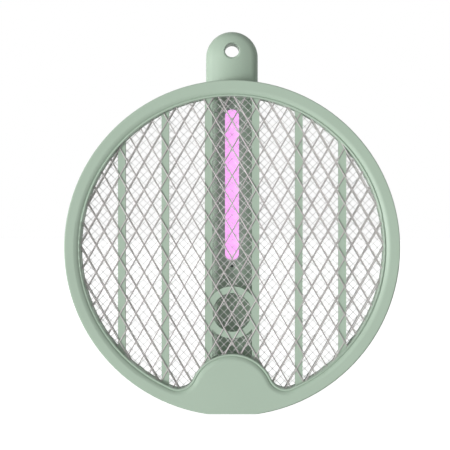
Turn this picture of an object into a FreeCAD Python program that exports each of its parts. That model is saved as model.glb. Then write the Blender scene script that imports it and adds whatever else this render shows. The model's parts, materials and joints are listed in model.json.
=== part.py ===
import FreeCAD
import Part
import math
import os

# Folding electric bug zapper: a round wire head that folds down in front of its own flat handle.
# Millimetres. X to the right, Y from the wire face towards the back, Z up.
# The origin is in the middle of the hanging hole, half way through the handle.

V = FreeCAD.Vector
AXIS_OF_DEPTH = V(0, 1, 0)

# ---- driving dimensions -------------------------------------------------------------------------

HANG_HEIGHT = 240.8  # hanging hole above the flat base of the folded zapper
RING_R = 110.0
FLAT_CUT = 1.17  # what the flat base takes off the round ring
HEAD_T = 16.0
WALL = 2.0
FOLD_GAP = 1.0  # between the folded head and handle

GRIP_W = 34.8
GRIP_T = 22.0
GRIP_CLEAR = 14.6  # from the hinge axis to the handle's end face

HINGE_HEIGHT = 14.0  # hinge axis above the flat base
HINGE_OUT = 2.0  # hinge axis behind the head's rear face

# ---- levels that follow from them ----------------------------------------------------------------

BASE_Z = -HANG_HEIGHT
RING_Z = BASE_Z + RING_R - FLAT_CUT
GRIP_FRONT_Y = -GRIP_T / 2
GRIP_BACK_Y = GRIP_T / 2
BACK_Y = GRIP_FRONT_Y - FOLD_GAP
FRONT_Y = BACK_Y - HEAD_T
SPLIT_Y = FRONT_Y + HEAD_T / 2
AXIS_Y = BACK_Y + HINGE_OUT
AXIS_Z = BASE_Z + HINGE_HEIGHT
GRIP_BASE_Z = AXIS_Z + GRIP_CLEAR
EAR_Z = -4.4  # centre of the handle's round end

# ---- the opening in the ring and its moulded lip --------------------------------------------------

MOUTH_R = 99.5
HILL_R = 28.0  # rounded hinge housing that rises into the opening
HILL_Z = RING_Z - 97.36
POCKET_R = 10.5  # concave corner between the housing and the ring
SLOPE_W = 4.6  # width of the moulded slope and lip, out from the opening
VALLEY = 1.5  # where the slope ends and the lip's bead begins
VALLEY_DEPTH = 1.47
BEAD_DEPTH = 0.9
LIP_DEPTH = 3.4  # the lip's underside, which the mesh lies against
SEAT = 3.0  # how far the mesh seat reaches out from the opening
BARRIER = 4.6  # outside of the wall round the mesh seat
EDGE_R = 0.8

# ---- meshes and spacer grids ----------------------------------------------------------------------

OUTER_MESH_T = 0.8
OUTER_WIRE = 0.8
OUTER_PITCH_X = 10.55
OUTER_PITCH_Z = 18.17
OUTER_NODE_Z = RING_Z + 83.8
LIVE_MESH_T = 0.4
LIVE_WIRE = 0.4
LIVE_PITCH = 5.32
LIVE_NODE_Z = RING_Z + 96.0
MESH_EDGE = 2.7
MESH_RIM = 1.5
RIB_X = (15.5, 43.95, 72.6)
RIB_W = 4.8
GRID_RIM_IN = 0.3
GRID_RIM_OUT = 2.8
EYE_Z = RING_Z - 42.35  # small ring of the spacer grid
EYE_R_OUT = 17.1
EYE_R_IN = 12.75
TAB_X = {"front": -8.0, "live": 0.0, "rear": 8.0}
TAB_W = 4.0
TAB_BOTTOM = HILL_Z + 16.6
TAB_TOP = HILL_Z + 25.6
TAB_WAY = 4.8  # width of the notch that lets a tab through

# ---- screws ----------------------------------------------------------------------------------------

SCREW_R = 1.15
SCREW_HEAD_R = 2.2
SCREW_HEAD_T = 1.5
SCREW_SINK = 2.1
PILOT_R = 1.2  # hole that a screw cuts its thread in
SCREW_WAY_R = 1.4  # hole that a screw passes freely
SCREW_HEAD_WAY_R = 2.4
RECESS_HALF = 1.3  # arms of the cross recess
RECESS_W = 0.5
BOSS_R = 2.5
HILL_SCREWS = (14.0, 15.2)  # in the hinge housing: to each side, and above its centre
HEAD_SCREW_RING_R = 106.3
HEAD_SCREW_L = 9.5
GRIP_SCREW_L = 12.0
GRIP_SCREWS = [(12.0, 48.0), (-12.0, 48.0), (12.0, 108.0), (-12.0, 108.0)]
GRIP_SCREWS += [(12.0, 172.0), (-12.0, 172.0), (0.0, 218.0), (6.0, 38.0), (-6.0, 38.0)]

# ---- hinge -----------------------------------------------------------------------------------------

BARREL_R = 6.8
BARREL_HALF = 10.4
KNUCKLE_R = 6.4
KNUCKLE_IN = 11.2
KNUCKLE_OUT = 16.5
PIN_R = 2.5
PIN_BORE_R = 2.55
WIRE_WAY_R = 4.0  # way through the hinge slot's floor for the head's leads
WASHER_R = 5.8
WASHER_CLEAR = 0.3
NECK_HALF = 9.0
NECK_CLEAR = 0.15
NECK_BORE_R = 0.9  # for a high-voltage lead
NECK_BORE_X = 2.5
NECK_Y = (AXIS_Y + 2.6, AXIS_Y + 8.4)
TONGUE_TOP = BASE_Z + 45.0
NECK_BORE_Y = AXIS_Y + 5.4
SLOT_FLOOR_Y = AXIS_Y - 9.0
SLOT_TOP_Z = AXIS_Z + 7.6
TRAY_WALL = 1.2
LEAD_R = 0.6
LEAD_Y = SPLIT_Y - 1.6  # depth at which the head's leads cross the housing
TERMINAL_R = 0.95
TERMINAL_OUT = 1.0  # from the tab's face to the middle of a terminal's barrel
TERMINAL_LOW = TAB_BOTTOM - 3.6

# ---- handle ----------------------------------------------------------------------------------------

CROWN_R = 32.0
CROWN_HALF = 13.0
HANG_R = 4.86
HANG_ROUND = 1.2  # rounding of the hole's rims
HANG_LAND = 0.55  # where a rim's rounding begins, below the middle of the crowned face
HANG_BOSS_R = 8.0
STRIP_W = 9.1
STRIP_Z = (BASE_Z + 100.6, BASE_Z + 200.9)
STRIP_FLANGE = 1.5  # how far the diffuser's flange reaches past its window
SENSOR_Z = BASE_Z + 96.8
SENSOR_R = 1.15
SENSOR_FLANGE_R = 1.6
BOARD_SCREW_R = 0.8
BOARD_BOSS_R = 2.2
BOARD_HALF = 9.2
BOARD_Y = (0.4, 2.0)
BOARD_Z = (BASE_Z + 48.0, BASE_Z + 106.0)
LAMP_BOARD_Y = (-6.2, -5.2)
LAMP_COUNT = 12
CELL_R = 7.05
CELL_Y = 1.9
CELL_Z = (BASE_Z + 112.0, BASE_Z + 161.0)
BUTTON_Z = BASE_Z + 66.0
BUTTON_W = 12.0
BUTTON_L = 20.0
BUTTON_TOP_Y = GRIP_BACK_Y + 1.0
BUTTON_GAP = 0.3
SLIDER_Z = BASE_Z + 94.0
SPRING_R = 4.9
SPRING_PITCH = 1.25
SPRING_H = 4.4
SPRING_WIRE_R = 0.25
AXIAL_WIRE_R = 0.3
STATUS_Z = BASE_Z + 50.6
PORT_Z = BASE_Z + 65.5
PORT_L = 9.0
PORT_T = 3.3

NODES = {}


# ---- plain shapes ----------------------------------------------------------------------------------


def block(x, y, z):
    """A box from three (low, high) pairs."""
    return Part.makeBox(x[1] - x[0], y[1] - y[0], z[1] - z[0], V(x[0], y[0], z[0]))


def rod_y(x, z, r, y0, y1):
    return Part.makeCylinder(r, y1 - y0, V(x, y0, z), V(0, 1, 0))


def rod_x(y, z, r, x0, x1):
    return Part.makeCylinder(r, x1 - x0, V(x0, y, z), V(1, 0, 0))


def rod_z(x, y, r, z0, z1):
    return Part.makeCylinder(r, z1 - z0, V(x, y, z0), V(0, 0, 1))


def tube_y(x, z, r_out, r_in, y0, y1):
    return rod_y(x, z, r_out, y0, y1).cut(rod_y(x, z, r_in, y0 - 1, y1 + 1))


def slot_y(width, x, z, y0, y1):
    """A plate with round ends, long in Z; z is its (low, high) pair."""
    r = width / 2
    plate = block((x - r, x + r), (y0, y1), (z[0] + r, z[1] - r))
    for end in (z[0] + r, z[1] - r):
        plate = plate.fuse(rod_y(x, end, r, y0, y1))
    return plate.removeSplitter()


def joined(shapes):
    """All shapes fused into one, with no seams left between them."""
    whole = shapes[0]
    for shape in shapes[1:]:
        whole = whole.fuse(shape)
    return whole.removeSplitter()


def less(shape, tools):
    for tool in tools:
        shape = shape.cut(tool)
    return shape


def keep(name, *solids):
    """Stores a node: one solid, or a group of separate ones."""
    found = [s for shape in solids for s in shape.Solids]
    NODES[name] = found[0] if len(found) == 1 else Part.makeCompound(found)


def flipped(shape):
    """The same shape for the rear half of the head."""
    return shape.mirror(V(0, SPLIT_Y, 0), AXIS_OF_DEPTH)


# ---- the outline of the opening --------------------------------------------------------------------


def pocket_centre():
    """Centre of the concave corner on the +X side, as x and z."""
    from_ring = MOUTH_R - POCKET_R
    from_hill = HILL_R + POCKET_R
    apart = RING_Z - HILL_Z
    down = (from_ring**2 - from_hill**2 + apart**2) / (2 * apart)
    return math.sqrt(from_ring**2 - down**2), RING_Z - down


POCKET_X, POCKET_Z = pocket_centre()
# Directions are angles from +Z towards +X.
RING_END = math.atan2(POCKET_X, POCKET_Z - RING_Z)
HILL_END = math.atan2(POCKET_X, POCKET_Z - HILL_Z)


def toward(x, z, angle, distance, y):
    return V(x + distance * math.sin(angle), y, z + distance * math.cos(angle))


def outline(off, y):
    """The opening's outline at depth y, moved outwards by off: arcs that run into each other."""
    ring = MOUTH_R + off
    hill = HILL_R - off
    pocket = POCKET_R + off
    middle = (RING_END + HILL_END + math.pi) / 2
    right_ring = toward(0, RING_Z, RING_END, ring, y)
    right_hill = toward(0, HILL_Z, HILL_END, hill, y)
    right_mid = toward(POCKET_X, POCKET_Z, middle, pocket, y)
    left_ring = toward(0, RING_Z, -RING_END, ring, y)
    left_hill = toward(0, HILL_Z, -HILL_END, hill, y)
    left_mid = toward(-POCKET_X, POCKET_Z, -middle, pocket, y)
    arcs = [
        Part.Arc(left_ring, V(0, y, RING_Z + ring), right_ring),
        Part.Arc(right_ring, right_mid, right_hill),
        Part.Arc(right_hill, V(0, y, HILL_Z + hill), left_hill),
        Part.Arc(left_hill, left_mid, left_ring),
    ]
    return Part.Wire([arc.toShape() for arc in arcs])


def opening_prism(off, y0, y1):
    return Part.Face(outline(off, y0)).extrude(V(0, y1 - y0, 0))


def inside_opening(x, z, off):
    """True where the point lies inside the opening's outline moved outwards by off."""
    side = abs(x)
    if math.hypot(side, z - RING_Z) > MOUTH_R + off:
        return False
    if math.hypot(side, z - HILL_Z) < HILL_R - off:
        return False
    angle = math.atan2(side - POCKET_X, z - POCKET_Z) % (2 * math.pi)
    below = RING_END < angle < HILL_END + math.pi
    return not below or math.hypot(side - POCKET_X, z - POCKET_Z) < POCKET_R + off


# ---- ring shells -----------------------------------------------------------------------------------


def disc(inset, y0, y1):
    """The ring's round outer shape with its flat base, moved inwards by inset."""
    r = RING_R - inset
    flat = RING_R - FLAT_CUT - inset
    half = math.sqrt(r**2 - flat**2)
    left = V(-half, y0, RING_Z - flat)
    right = V(half, y0, RING_Z - flat)
    rim = Part.Arc(left, V(0, y0, RING_Z + r), right).toShape()
    base = Part.LineSegment(right, left).toShape()
    return Part.Face(Part.Wire([rim, base])).extrude(V(0, y1 - y0, 0))


def edges_at(shape, y):
    found = []
    for edge in shape.Edges:
        box = edge.BoundBox
        if abs(box.YMin - y) < 1e-4 and abs(box.YMax - y) < 1e-4:
            found.append(edge)
    return found


def lip_cutter(x, z, radius, sign, start, sweep):
    """The slope-and-lip profile turned about one arc. sign is +1 where outwards is away from x, z."""

    def point(off, depth):
        return toward(x, z, start, radius + sign * off, FRONT_Y + depth)

    slope_r = ((SLOPE_W - VALLEY) ** 2 + VALLEY_DEPTH**2) / (2 * VALLEY_DEPTH)
    half = math.asin((SLOPE_W - VALLEY) / slope_r) / 2
    mid = point(SLOPE_W - slope_r * math.sin(half), slope_r * (1 - math.cos(half)))
    valley = point(VALLEY, VALLEY_DEPTH)
    inner = point(0, VALLEY_DEPTH + 0.1)
    edges = [
        Part.LineSegment(point(SLOPE_W, -1), point(SLOPE_W, 0)),
        Part.Arc(point(SLOPE_W, 0), mid, valley),
        Part.Arc(valley, point(VALLEY / 2, BEAD_DEPTH), inner),
        Part.LineSegment(inner, point(-1, VALLEY_DEPTH + 0.1)),
        Part.LineSegment(point(-1, VALLEY_DEPTH + 0.1), point(-1, -1)),
        Part.LineSegment(point(-1, -1), point(SLOPE_W, -1)),
    ]
    face = Part.Face(Part.Wire([edge.toShape() for edge in edges]))
    return face.revolve(V(x, 0, z), AXIS_OF_DEPTH, math.degrees(sweep))


def lip_cutters():
    bend = HILL_END + math.pi - RING_END
    return [
        lip_cutter(0, RING_Z, MOUTH_R, 1, -RING_END, 2 * RING_END),
        lip_cutter(POCKET_X, POCKET_Z, POCKET_R, 1, RING_END, bend),
        lip_cutter(0, HILL_Z, HILL_R, -1, -HILL_END, 2 * HILL_END),
        lip_cutter(-POCKET_X, POCKET_Z, POCKET_R, 1, -RING_END - bend, bend),
    ]


def head_screw_places():
    """Eight screws round the ring and two in the hinge housing, as x and z."""
    places = []
    for k in range(8):
        angle = math.radians(22.5 + 45 * k)
        spot = toward(0, RING_Z, angle, HEAD_SCREW_RING_R, 0)
        places.append((spot.x, spot.z))
    side, up = HILL_SCREWS
    return places + [(side, HILL_Z + up), (-side, HILL_Z + up)]


def tab_notches():
    """Ways through the mesh seat's wall for the meshes' tabs."""
    z = (HILL_Z + 20, HILL_Z + HILL_R - SEAT + 0.5)
    y = (FRONT_Y + LIP_DEPTH, SPLIT_Y)
    half = TAB_WAY / 2
    return [block((x - half, x + half), y, z) for x in TAB_X.values()]


def ring_half():
    """One moulded half of the ring, as the front one: face, lip, mesh seat, hollow rim and hinge housing."""
    blank = disc(0, FRONT_Y, SPLIT_Y)
    blank = blank.makeFillet(EDGE_R, edges_at(blank, FRONT_Y))
    blank = blank.makeChamfer(0.25, edges_at(blank, SPLIT_Y))
    hollow = disc(WALL, FRONT_Y + WALL + 0.2, SPLIT_Y + 1)
    hollow = hollow.cut(opening_prism(BARRIER, FRONT_Y, SPLIT_Y + 2))
    cuts = [opening_prism(0, FRONT_Y - 2, SPLIT_Y + 1), *lip_cutters()]
    cuts += [opening_prism(SEAT, FRONT_Y + LIP_DEPTH, SPLIT_Y + 1), hollow]
    half = less(blank, cuts + tab_notches())
    bosses = [rod_y(x, z, BOSS_R, FRONT_Y + 1.5, SPLIT_Y) for x, z in head_screw_places()]
    return joined([half, *bosses])


def head_front_shell():
    pilots = []
    for x, z in head_screw_places():
        pilots.append(rod_y(x, z, PILOT_R, FRONT_Y + 3, SPLIT_Y + 1))
    keep("head_front_shell", less(ring_half(), pilots))


def knuckle(side):
    """One hinge knuckle of the rear shell. side is +1 or -1."""
    x = sorted((side * KNUCKLE_IN, side * KNUCKLE_OUT))
    z = (AXIS_Z - KNUCKLE_R, AXIS_Z + KNUCKLE_R)
    foot = block(x, (SPLIT_Y, AXIS_Y), z)
    return foot.fuse(rod_x(AXIS_Y, AXIS_Z, KNUCKLE_R, x[0], x[1]))


def hinge_slot():
    """The space in the rear shell that the barrel and neck turn through. It is open behind and below."""
    x = (-KNUCKLE_IN, KNUCKLE_IN)
    return block(x, (SLOT_FLOOR_Y, BACK_Y + 1), (BASE_Z - 1, SLOT_TOP_Z))


def hinge_tray():
    """Walls that close the hinge slot off from the wiring in the housing."""
    x = (-KNUCKLE_IN - TRAY_WALL, KNUCKLE_IN + TRAY_WALL)
    return block(x, (SPLIT_Y, BACK_Y), (BASE_Z + 0.5, SLOT_TOP_Z + TRAY_WALL))


def head_rear_shell():
    shell = joined([flipped(ring_half()), hinge_tray(), knuckle(1), knuckle(-1)])
    cuts = [hinge_slot(), rod_x(AXIS_Y, AXIS_Z, PIN_R, -KNUCKLE_OUT - 1, KNUCKLE_OUT + 1)]
    cuts.append(rod_y(0, AXIS_Z, WIRE_WAY_R, SPLIT_Y - 1, SLOT_FLOOR_Y + 1))
    for x, z in head_screw_places():
        cuts.append(rod_y(x, z, SCREW_WAY_R, SPLIT_Y - 1, BACK_Y + 1))
        cuts.append(rod_y(x, z, SCREW_HEAD_WAY_R, BACK_Y - SCREW_SINK, BACK_Y + 1))
    keep("head_rear_shell", less(shell, cuts))


# ---- meshes ----------------------------------------------------------------------------------------


def diamond(x, z, half_x, half_z, y):
    corners = [V(x - half_x, y, z), V(x, y, z + half_z), V(x + half_x, y, z), V(x, y, z - half_z)]
    return Part.makePolygon(corners + corners[:1])


def diamond_holes(y):
    """The holes of the large-diamond mesh: whole ones, and those that its rim cuts short."""
    half_x = OUTER_PITCH_X / 2
    half_z = OUTER_PITCH_Z / 2
    shrink = 1 - OUTER_WIRE / 2 * math.hypot(half_x, half_z) / (half_x * half_z)
    field = Part.Face(outline(MESH_RIM, y))
    columns = int(MOUTH_R / half_x) + 2
    rows = int(2.2 * MOUTH_R / half_z) + 2
    holes = []
    for i in range(-columns, columns + 1):
        for j in range(-rows, rows + 1):
            if (i + j) % 2 == 0:
                continue
            x = i * half_x
            z = OUTER_NODE_Z + j * half_z
            hole = diamond(x, z, half_x * shrink, half_z * shrink, y)
            tips = [inside_opening(p.X, p.Z, MESH_RIM - 0.05) for p in hole.Vertexes]
            if all(tips):
                holes.append(hole)
            elif any(tips) or inside_opening(x, z, MESH_RIM):
                part = Part.Face(hole).common(field)
                holes += [face.OuterWire for face in part.Faces if face.Area > 0.4]
    return holes


def outer_mesh(name, tab, y0):
    """A flat mesh of large diamonds, with a rim that the shells clamp and a tab for its terminal."""
    rim = outline(MESH_EDGE, y0)
    sheet = Part.makeFace([rim, *diamond_holes(y0)], "Part::FaceMakerBullseye")
    plate = sheet.extrude(V(0, OUTER_MESH_T, 0))
    x = TAB_X[tab]
    y = (y0, y0 + OUTER_MESH_T)
    strip = block((x - TAB_W / 2, x + TAB_W / 2), y, (TAB_BOTTOM, TAB_TOP))
    keep(name, joined([plate, strip]))


def wire_runs(x, z, dx, dz):
    """The stretches of a straight wire through x, z that lie on the mesh's field, as distances along it."""
    reach = 2.2 * RING_R
    step = 0.5
    runs = []
    start = None
    for k in range(int(-reach / step), int(reach / step)):
        at = k * step
        on_field = inside_opening(x + at * dx, z + at * dz, MESH_EDGE)
        if on_field and start is None:
            start = at
        if not on_field and start is not None:
            runs.append((start, at - step))
            start = None
    return [run for run in runs if run[1] - run[0] > 3]


def live_wires(slope, y):
    """One layer of parallel wires at 45 degrees. slope is +1 or -1."""
    dx = math.sqrt(0.5)
    dz = slope * dx
    spacing = LIVE_PITCH * dx
    count = int(2 * RING_R / spacing)
    wires = []
    for k in range(-count, count + 1):
        x = -dz * k * spacing
        z = LIVE_NODE_Z + dx * k * spacing
        for low, high in wire_runs(x, z, dx, dz):
            wire = Part.makeBox(high - low, LIVE_MESH_T / 2, LIVE_WIRE, V(low, 0, -LIVE_WIRE / 2))
            wire.rotate(V(0, 0, 0), AXIS_OF_DEPTH, -45 * slope)
            wire.translate(V(x, y, z))
            wires.append(wire)
    return wires


def live_mesh():
    """Two crossed layers of fine wires. The ones that meet the terminal tab are one piece with it."""
    y = (SPLIT_Y - LIVE_MESH_T / 2, SPLIT_Y + LIVE_MESH_T / 2)
    wires = live_wires(1, y[0]) + live_wires(-1, SPLIT_Y)
    tab = block((-TAB_W / 2, TAB_W / 2), y, (TAB_BOTTOM, TAB_TOP + 0.9))
    near = [wire for wire in wires if wire.common(tab).Volume > 1e-6]
    far = [wire for wire in wires if wire not in near]
    keep("live_inner_mesh", joined([tab, *near]), *far)


def meshes():
    outer_mesh("front_outer_mesh", "front", FRONT_Y + LIP_DEPTH)
    outer_mesh("rear_outer_mesh", "rear", BACK_Y - LIP_DEPTH - OUTER_MESH_T)
    live_mesh()


def spacer_grid():
    """The front insulating grid: rim, six upright ribs and the small ring between the middle two."""
    y = (FRONT_Y + LIP_DEPTH + OUTER_MESH_T, SPLIT_Y - LIVE_MESH_T / 2)
    rim = opening_prism(GRID_RIM_OUT, *y).cut(opening_prism(GRID_RIM_IN, y[0] - 1, y[1] + 1))
    z = (BASE_Z, RING_Z + RING_R)
    bars = [block((s * x - RIB_W / 2, s * x + RIB_W / 2), y, z) for x in RIB_X for s in (-1, 1)]
    eye = tube_y(0, EYE_Z, EYE_R_OUT, EYE_R_IN, *y)
    middle = rod_y(0, EYE_Z, EYE_R_IN, y[0] - 1, y[1] + 1)
    inner = joined([*[bar.cut(middle) for bar in bars], eye])
    return joined([rim, inner.common(opening_prism(GRID_RIM_OUT - 0.5, *y))])


def spacer_grids():
    grid = spacer_grid()
    keep("front_spacer_grid", grid)
    keep("rear_spacer_grid", flipped(grid))


# ---- fasteners and wiring --------------------------------------------------------------------------


def screw(x, z, seat_y, length):
    """A cross-head screw driven towards -Y. seat_y is where its head bears."""
    shank = rod_y(x, z, SCREW_R, seat_y - length + 1, seat_y)
    point = Part.makeCone(0.35, SCREW_R, 1, V(x, seat_y - length, z), AXIS_OF_DEPTH)
    head = rod_y(x, z, SCREW_HEAD_R, seat_y, seat_y + SCREW_HEAD_T)
    head = head.makeFillet(0.6, edges_at(head, seat_y + SCREW_HEAD_T))
    whole = joined([shank, point, head])
    y = (seat_y + 0.6, seat_y + SCREW_HEAD_T + 1)
    half = RECESS_W / 2
    across = block((x - RECESS_HALF, x + RECESS_HALF), y, (z - half, z + half))
    upright = block((x - half, x + half), y, (z - RECESS_HALF, z + RECESS_HALF))
    return less(whole, [across, upright])


def head_screws():
    seat = BACK_Y - SCREW_SINK
    keep("head_screws", *[screw(x, z, seat, HEAD_SCREW_L) for x, z in head_screw_places()])


def grip_screw_seat(x):
    """Where a handle screw's head bears, below the crowned back face."""
    return GRIP_BACK_Y - crown_drop(x, 0) - SCREW_SINK - 0.6


def grip_screws():
    solids = [screw(x, BASE_Z + h, grip_screw_seat(x), GRIP_SCREW_L) for x, h in GRIP_SCREWS]
    keep("handle_screws", *solids)


def lead(radius, *points):
    """A round wire along straight runs joined by tangent arcs."""
    points = [V(*p) for p in points]
    edges = []
    at = points[0]
    for before, corner, after in zip(points, points[1:], points[2:]):
        back = (before - corner).normalize()
        ahead = (after - corner).normalize()
        turn = math.pi - back.getAngle(ahead)
        shorter = min((before - corner).Length, (after - corner).Length)
        bend = 0.45 * shorter / math.tan(turn / 2)
        start = corner + back * (0.45 * shorter)
        end = corner + ahead * (0.45 * shorter)
        inward = (back + ahead).normalize()
        mid = corner + inward * (bend / math.cos(turn / 2) - bend)
        edges.append(Part.LineSegment(at, start).toShape())
        edges.append(Part.Arc(start, mid, end).toShape())
        at = end
    edges.append(Part.LineSegment(at, points[-1]).toShape())
    path = Part.Wire(edges)
    ring = Part.Wire([Part.makeCircle(radius, points[0], points[1] - points[0])])
    return path.makePipeShell([ring], True, True)


def between(y, *offsets):
    """A (low, high) pair from two distances away from y."""
    return min(offsets) + y, max(offsets) + y


def terminal(x, y, side):
    """A brass crimp terminal on a mesh's tab, barrel below. side is +1 behind the tab, -1 in front."""
    middle = y + side * TERMINAL_OUT
    blade_y = between(y, 0, side * 0.5)
    blade = block((x - 1.6, x + 1.6), blade_y, (TAB_BOTTOM, TAB_BOTTOM + 4.5))
    barrel = rod_z(x, middle, TERMINAL_R, TERMINAL_LOW, TAB_BOTTOM)
    joint_y = between(y, 0, side * 1.4)
    joint = block((x - 0.8, x + 0.8), joint_y, (TAB_BOTTOM - 0.5, TAB_BOTTOM + 0.5))
    hollow = rod_z(x, middle, LEAD_R + 0.05, TERMINAL_LOW - 1, TAB_BOTTOM - 1)
    return joined([blade, barrel, joint]).cut(hollow)


def terminal_places():
    """Each mesh's terminal as x, the y of the tab's face that it lies on, and the side of it."""
    return [
        (TAB_X["front"], FRONT_Y + LIP_DEPTH + OUTER_MESH_T, 1),
        (TAB_X["live"], SPLIT_Y + LIVE_MESH_T / 2, 1),
        (TAB_X["rear"], BACK_Y - LIP_DEPTH - OUTER_MESH_T, -1),
    ]


def head_wiring():
    """Terminals, and leads from them in front of the hinge slot's floor to the way through it."""
    keep("mesh_terminals", *[terminal(*place) for place in terminal_places()])
    leads = []
    for (x, y, side), way_x in zip(terminal_places(), (-2.2, 0.0, 2.2)):
        y += side * TERMINAL_OUT
        route = [(x, y, TERMINAL_LOW + 0.8), (x, y, TERMINAL_LOW - 0.8)]
        if y > LEAD_Y + 1:
            route.append((x, LEAD_Y, TERMINAL_LOW - 0.8))
        route += [(way_x, LEAD_Y, AXIS_Z + 3.0), (way_x, LEAD_Y + 0.3, AXIS_Z + 0.4)]
        route.append((way_x, SLOT_FLOOR_Y - 0.2, AXIS_Z))
        leads.append(lead(LEAD_R, *route))
    keep("head_leads", *leads)


# ---- hinge -----------------------------------------------------------------------------------------


def neck_side():
    """The neck seen from the side, from the barrel up into the handle."""
    low, high = NECK_Y
    tongue = (-6.4, 3.0)
    shoulder = GRIP_BASE_Z + WALL + 0.4
    corners = [
        (AXIS_Y - 1.5, AXIS_Z + 6.0),
        (low, AXIS_Z + 10.5),
        (low, shoulder),
        (tongue[0], shoulder),
        (tongue[0], TONGUE_TOP),
        (tongue[1], TONGUE_TOP),
        (tongue[1], shoulder),
        (high, shoulder),
        (high, AXIS_Z + 8.0),
        (AXIS_Y + 6.0, AXIS_Z + 1.5),
    ]
    points = [V(-NECK_HALF, y, z) for y, z in corners]
    return Part.Face(Part.makePolygon(points + points[:1])).extrude(V(2 * NECK_HALF, 0, 0))


def hinge_neck():
    neck = joined([rod_x(AXIS_Y, AXIS_Z, BARREL_R, -BARREL_HALF, BARREL_HALF), neck_side()])
    cuts = [rod_x(AXIS_Y, AXIS_Z, PIN_BORE_R, -20, 20)]
    for x in (-NECK_BORE_X, NECK_BORE_X):
        cuts.append(rod_z(x, NECK_BORE_Y, NECK_BORE_R, AXIS_Z - BARREL_R - 1, TONGUE_TOP + 1))
    for x, h in GRIP_SCREWS[-2:]:
        cuts.append(rod_y(x, BASE_Z + h, BOSS_R + 0.1, -10, 10))
    keep("hinge_neck", less(neck, cuts))


def hinge_hardware():
    half = KNUCKLE_OUT + 0.4
    pin = rod_x(AXIS_Y, AXIS_Z, PIN_R, -half, half)
    ends = [e for e in pin.Edges if abs(abs(e.CenterOfMass.x) - half) < 1e-3]
    keep("hinge_pin", pin.makeChamfer(0.35, ends))
    washers = []
    for x0 in (BARREL_HALF, -KNUCKLE_IN):
        outer = rod_x(AXIS_Y, AXIS_Z, WASHER_R, x0, x0 + KNUCKLE_IN - BARREL_HALF)
        washers.append(outer.cut(rod_x(AXIS_Y, AXIS_Z, PIN_R + WASHER_CLEAR, -20, 20)))
    keep("friction_washers", *washers)


# ---- handle shells ---------------------------------------------------------------------------------


def crown_drop(x, inset):
    """How far the crowned face has fallen at x from its middle line."""
    r = CROWN_R - inset
    return r - math.sqrt(r**2 - x**2)


def half_section(inset, z):
    """The edges of the handle's section on its +X side, from the front middle round to the back middle."""
    tilt = math.asin(CROWN_HALF / CROWN_R)
    corner = (GRIP_W / 2 - CROWN_HALF) / (1 - math.sin(tilt))
    centre_x = GRIP_W / 2 - corner
    centre_y = GRIP_FRONT_Y + CROWN_R - (CROWN_R - corner) * math.cos(tilt)
    crown = CROWN_R - inset
    r = corner - inset

    def on_crown(angle):
        return V(crown * math.sin(angle), GRIP_FRONT_Y + CROWN_R - crown * math.cos(angle), z)

    def on_corner(angle):
        return V(centre_x + r * math.sin(angle), centre_y - r * math.cos(angle), z)

    def behind(p):
        return V(p.x, -p.y, p.z)

    right = math.pi / 2
    between = (tilt + right) / 2
    front = [
        (on_crown(0), on_crown(tilt / 2), on_crown(tilt)),
        (on_crown(tilt), on_corner(between), on_corner(right)),
    ]
    edges = [Part.Arc(*points).toShape() for points in front]
    edges.append(Part.LineSegment(on_corner(right), behind(on_corner(right))).toShape())
    for points in reversed(front):
        edges.append(Part.Arc(*[behind(p) for p in reversed(points)]).toShape())
    return edges


def grip_body(inset, base_z):
    """The handle's rounded bar from base_z up to its round end, moved inwards by inset."""
    right = half_section(inset, base_z)
    left = [e.mirror(V(0, 0, 0), V(1, 0, 0)) for e in right]
    bar = Part.Face(Part.Wire(Part.__sortEdges__(right + left)))
    bar = bar.extrude(V(0, 0, EAR_Z - base_z))
    at_end = half_section(inset, EAR_Z)
    close = Part.LineSegment(at_end[-1].Vertexes[-1].Point, at_end[0].Vertexes[0].Point).toShape()
    half = Part.Face(Part.Wire(Part.__sortEdges__([*at_end, close])))
    end = half.revolve(V(0, 0, EAR_Z), V(0, -1, 0), 180)
    return joined([bar, end])


def front_half():
    return block((-30, 30), (-20, 0), (BASE_Z, 30))


def rear_half():
    return block((-30, 30), (0, 20), (BASE_Z, 30))


def neck_way():
    """The way through the handle's end wall for the neck."""
    x = (-NECK_HALF - NECK_CLEAR, NECK_HALF + NECK_CLEAR)
    y = (NECK_Y[0] - NECK_CLEAR, NECK_Y[1] + NECK_CLEAR)
    return block(x, y, (GRIP_BASE_Z - 1, GRIP_BASE_Z + WALL + 1))


def port_way():
    """The way through the side wall to the charging socket."""
    r = PORT_T / 2 + 0.3
    y = (BOARD_Y[0] - PORT_T / 2 - r, BOARD_Y[0] - PORT_T / 2 + r)
    half = PORT_L / 2 + 0.3 - r
    way = block((-20, -14), y, (PORT_Z - half, PORT_Z + half))
    for z in (PORT_Z - half, PORT_Z + half):
        way = way.fuse(rod_x(BOARD_Y[0] - PORT_T / 2, z, r, -20, -14))
    return way.removeSplitter()


def hang_way():
    """The hanging hole with its rounded rims."""
    wide = HANG_R + HANG_ROUND
    rim = GRIP_T / 2 - HANG_LAND
    bend = HANG_ROUND * (1 - math.sqrt(0.5))
    front = [V(wide, -rim, 0), V(HANG_R + bend, -rim + bend, 0), V(HANG_R, -rim + HANG_ROUND, 0)]
    back = [V(p.x, -p.y, 0) for p in reversed(front)]
    edges = [
        Part.LineSegment(V(0, -20, 0), V(wide, -20, 0)),
        Part.LineSegment(V(wide, -20, 0), front[0]),
        Part.Arc(*front),
        Part.LineSegment(front[2], back[0]),
        Part.Arc(*back),
        Part.LineSegment(back[2], V(wide, 20, 0)),
        Part.LineSegment(V(wide, 20, 0), V(0, 20, 0)),
        Part.LineSegment(V(0, 20, 0), V(0, -20, 0)),
    ]
    face = Part.Face(Part.Wire([edge.toShape() for edge in edges]))
    return face.revolve(V(0, 0, 0), AXIS_OF_DEPTH, 360)


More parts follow.
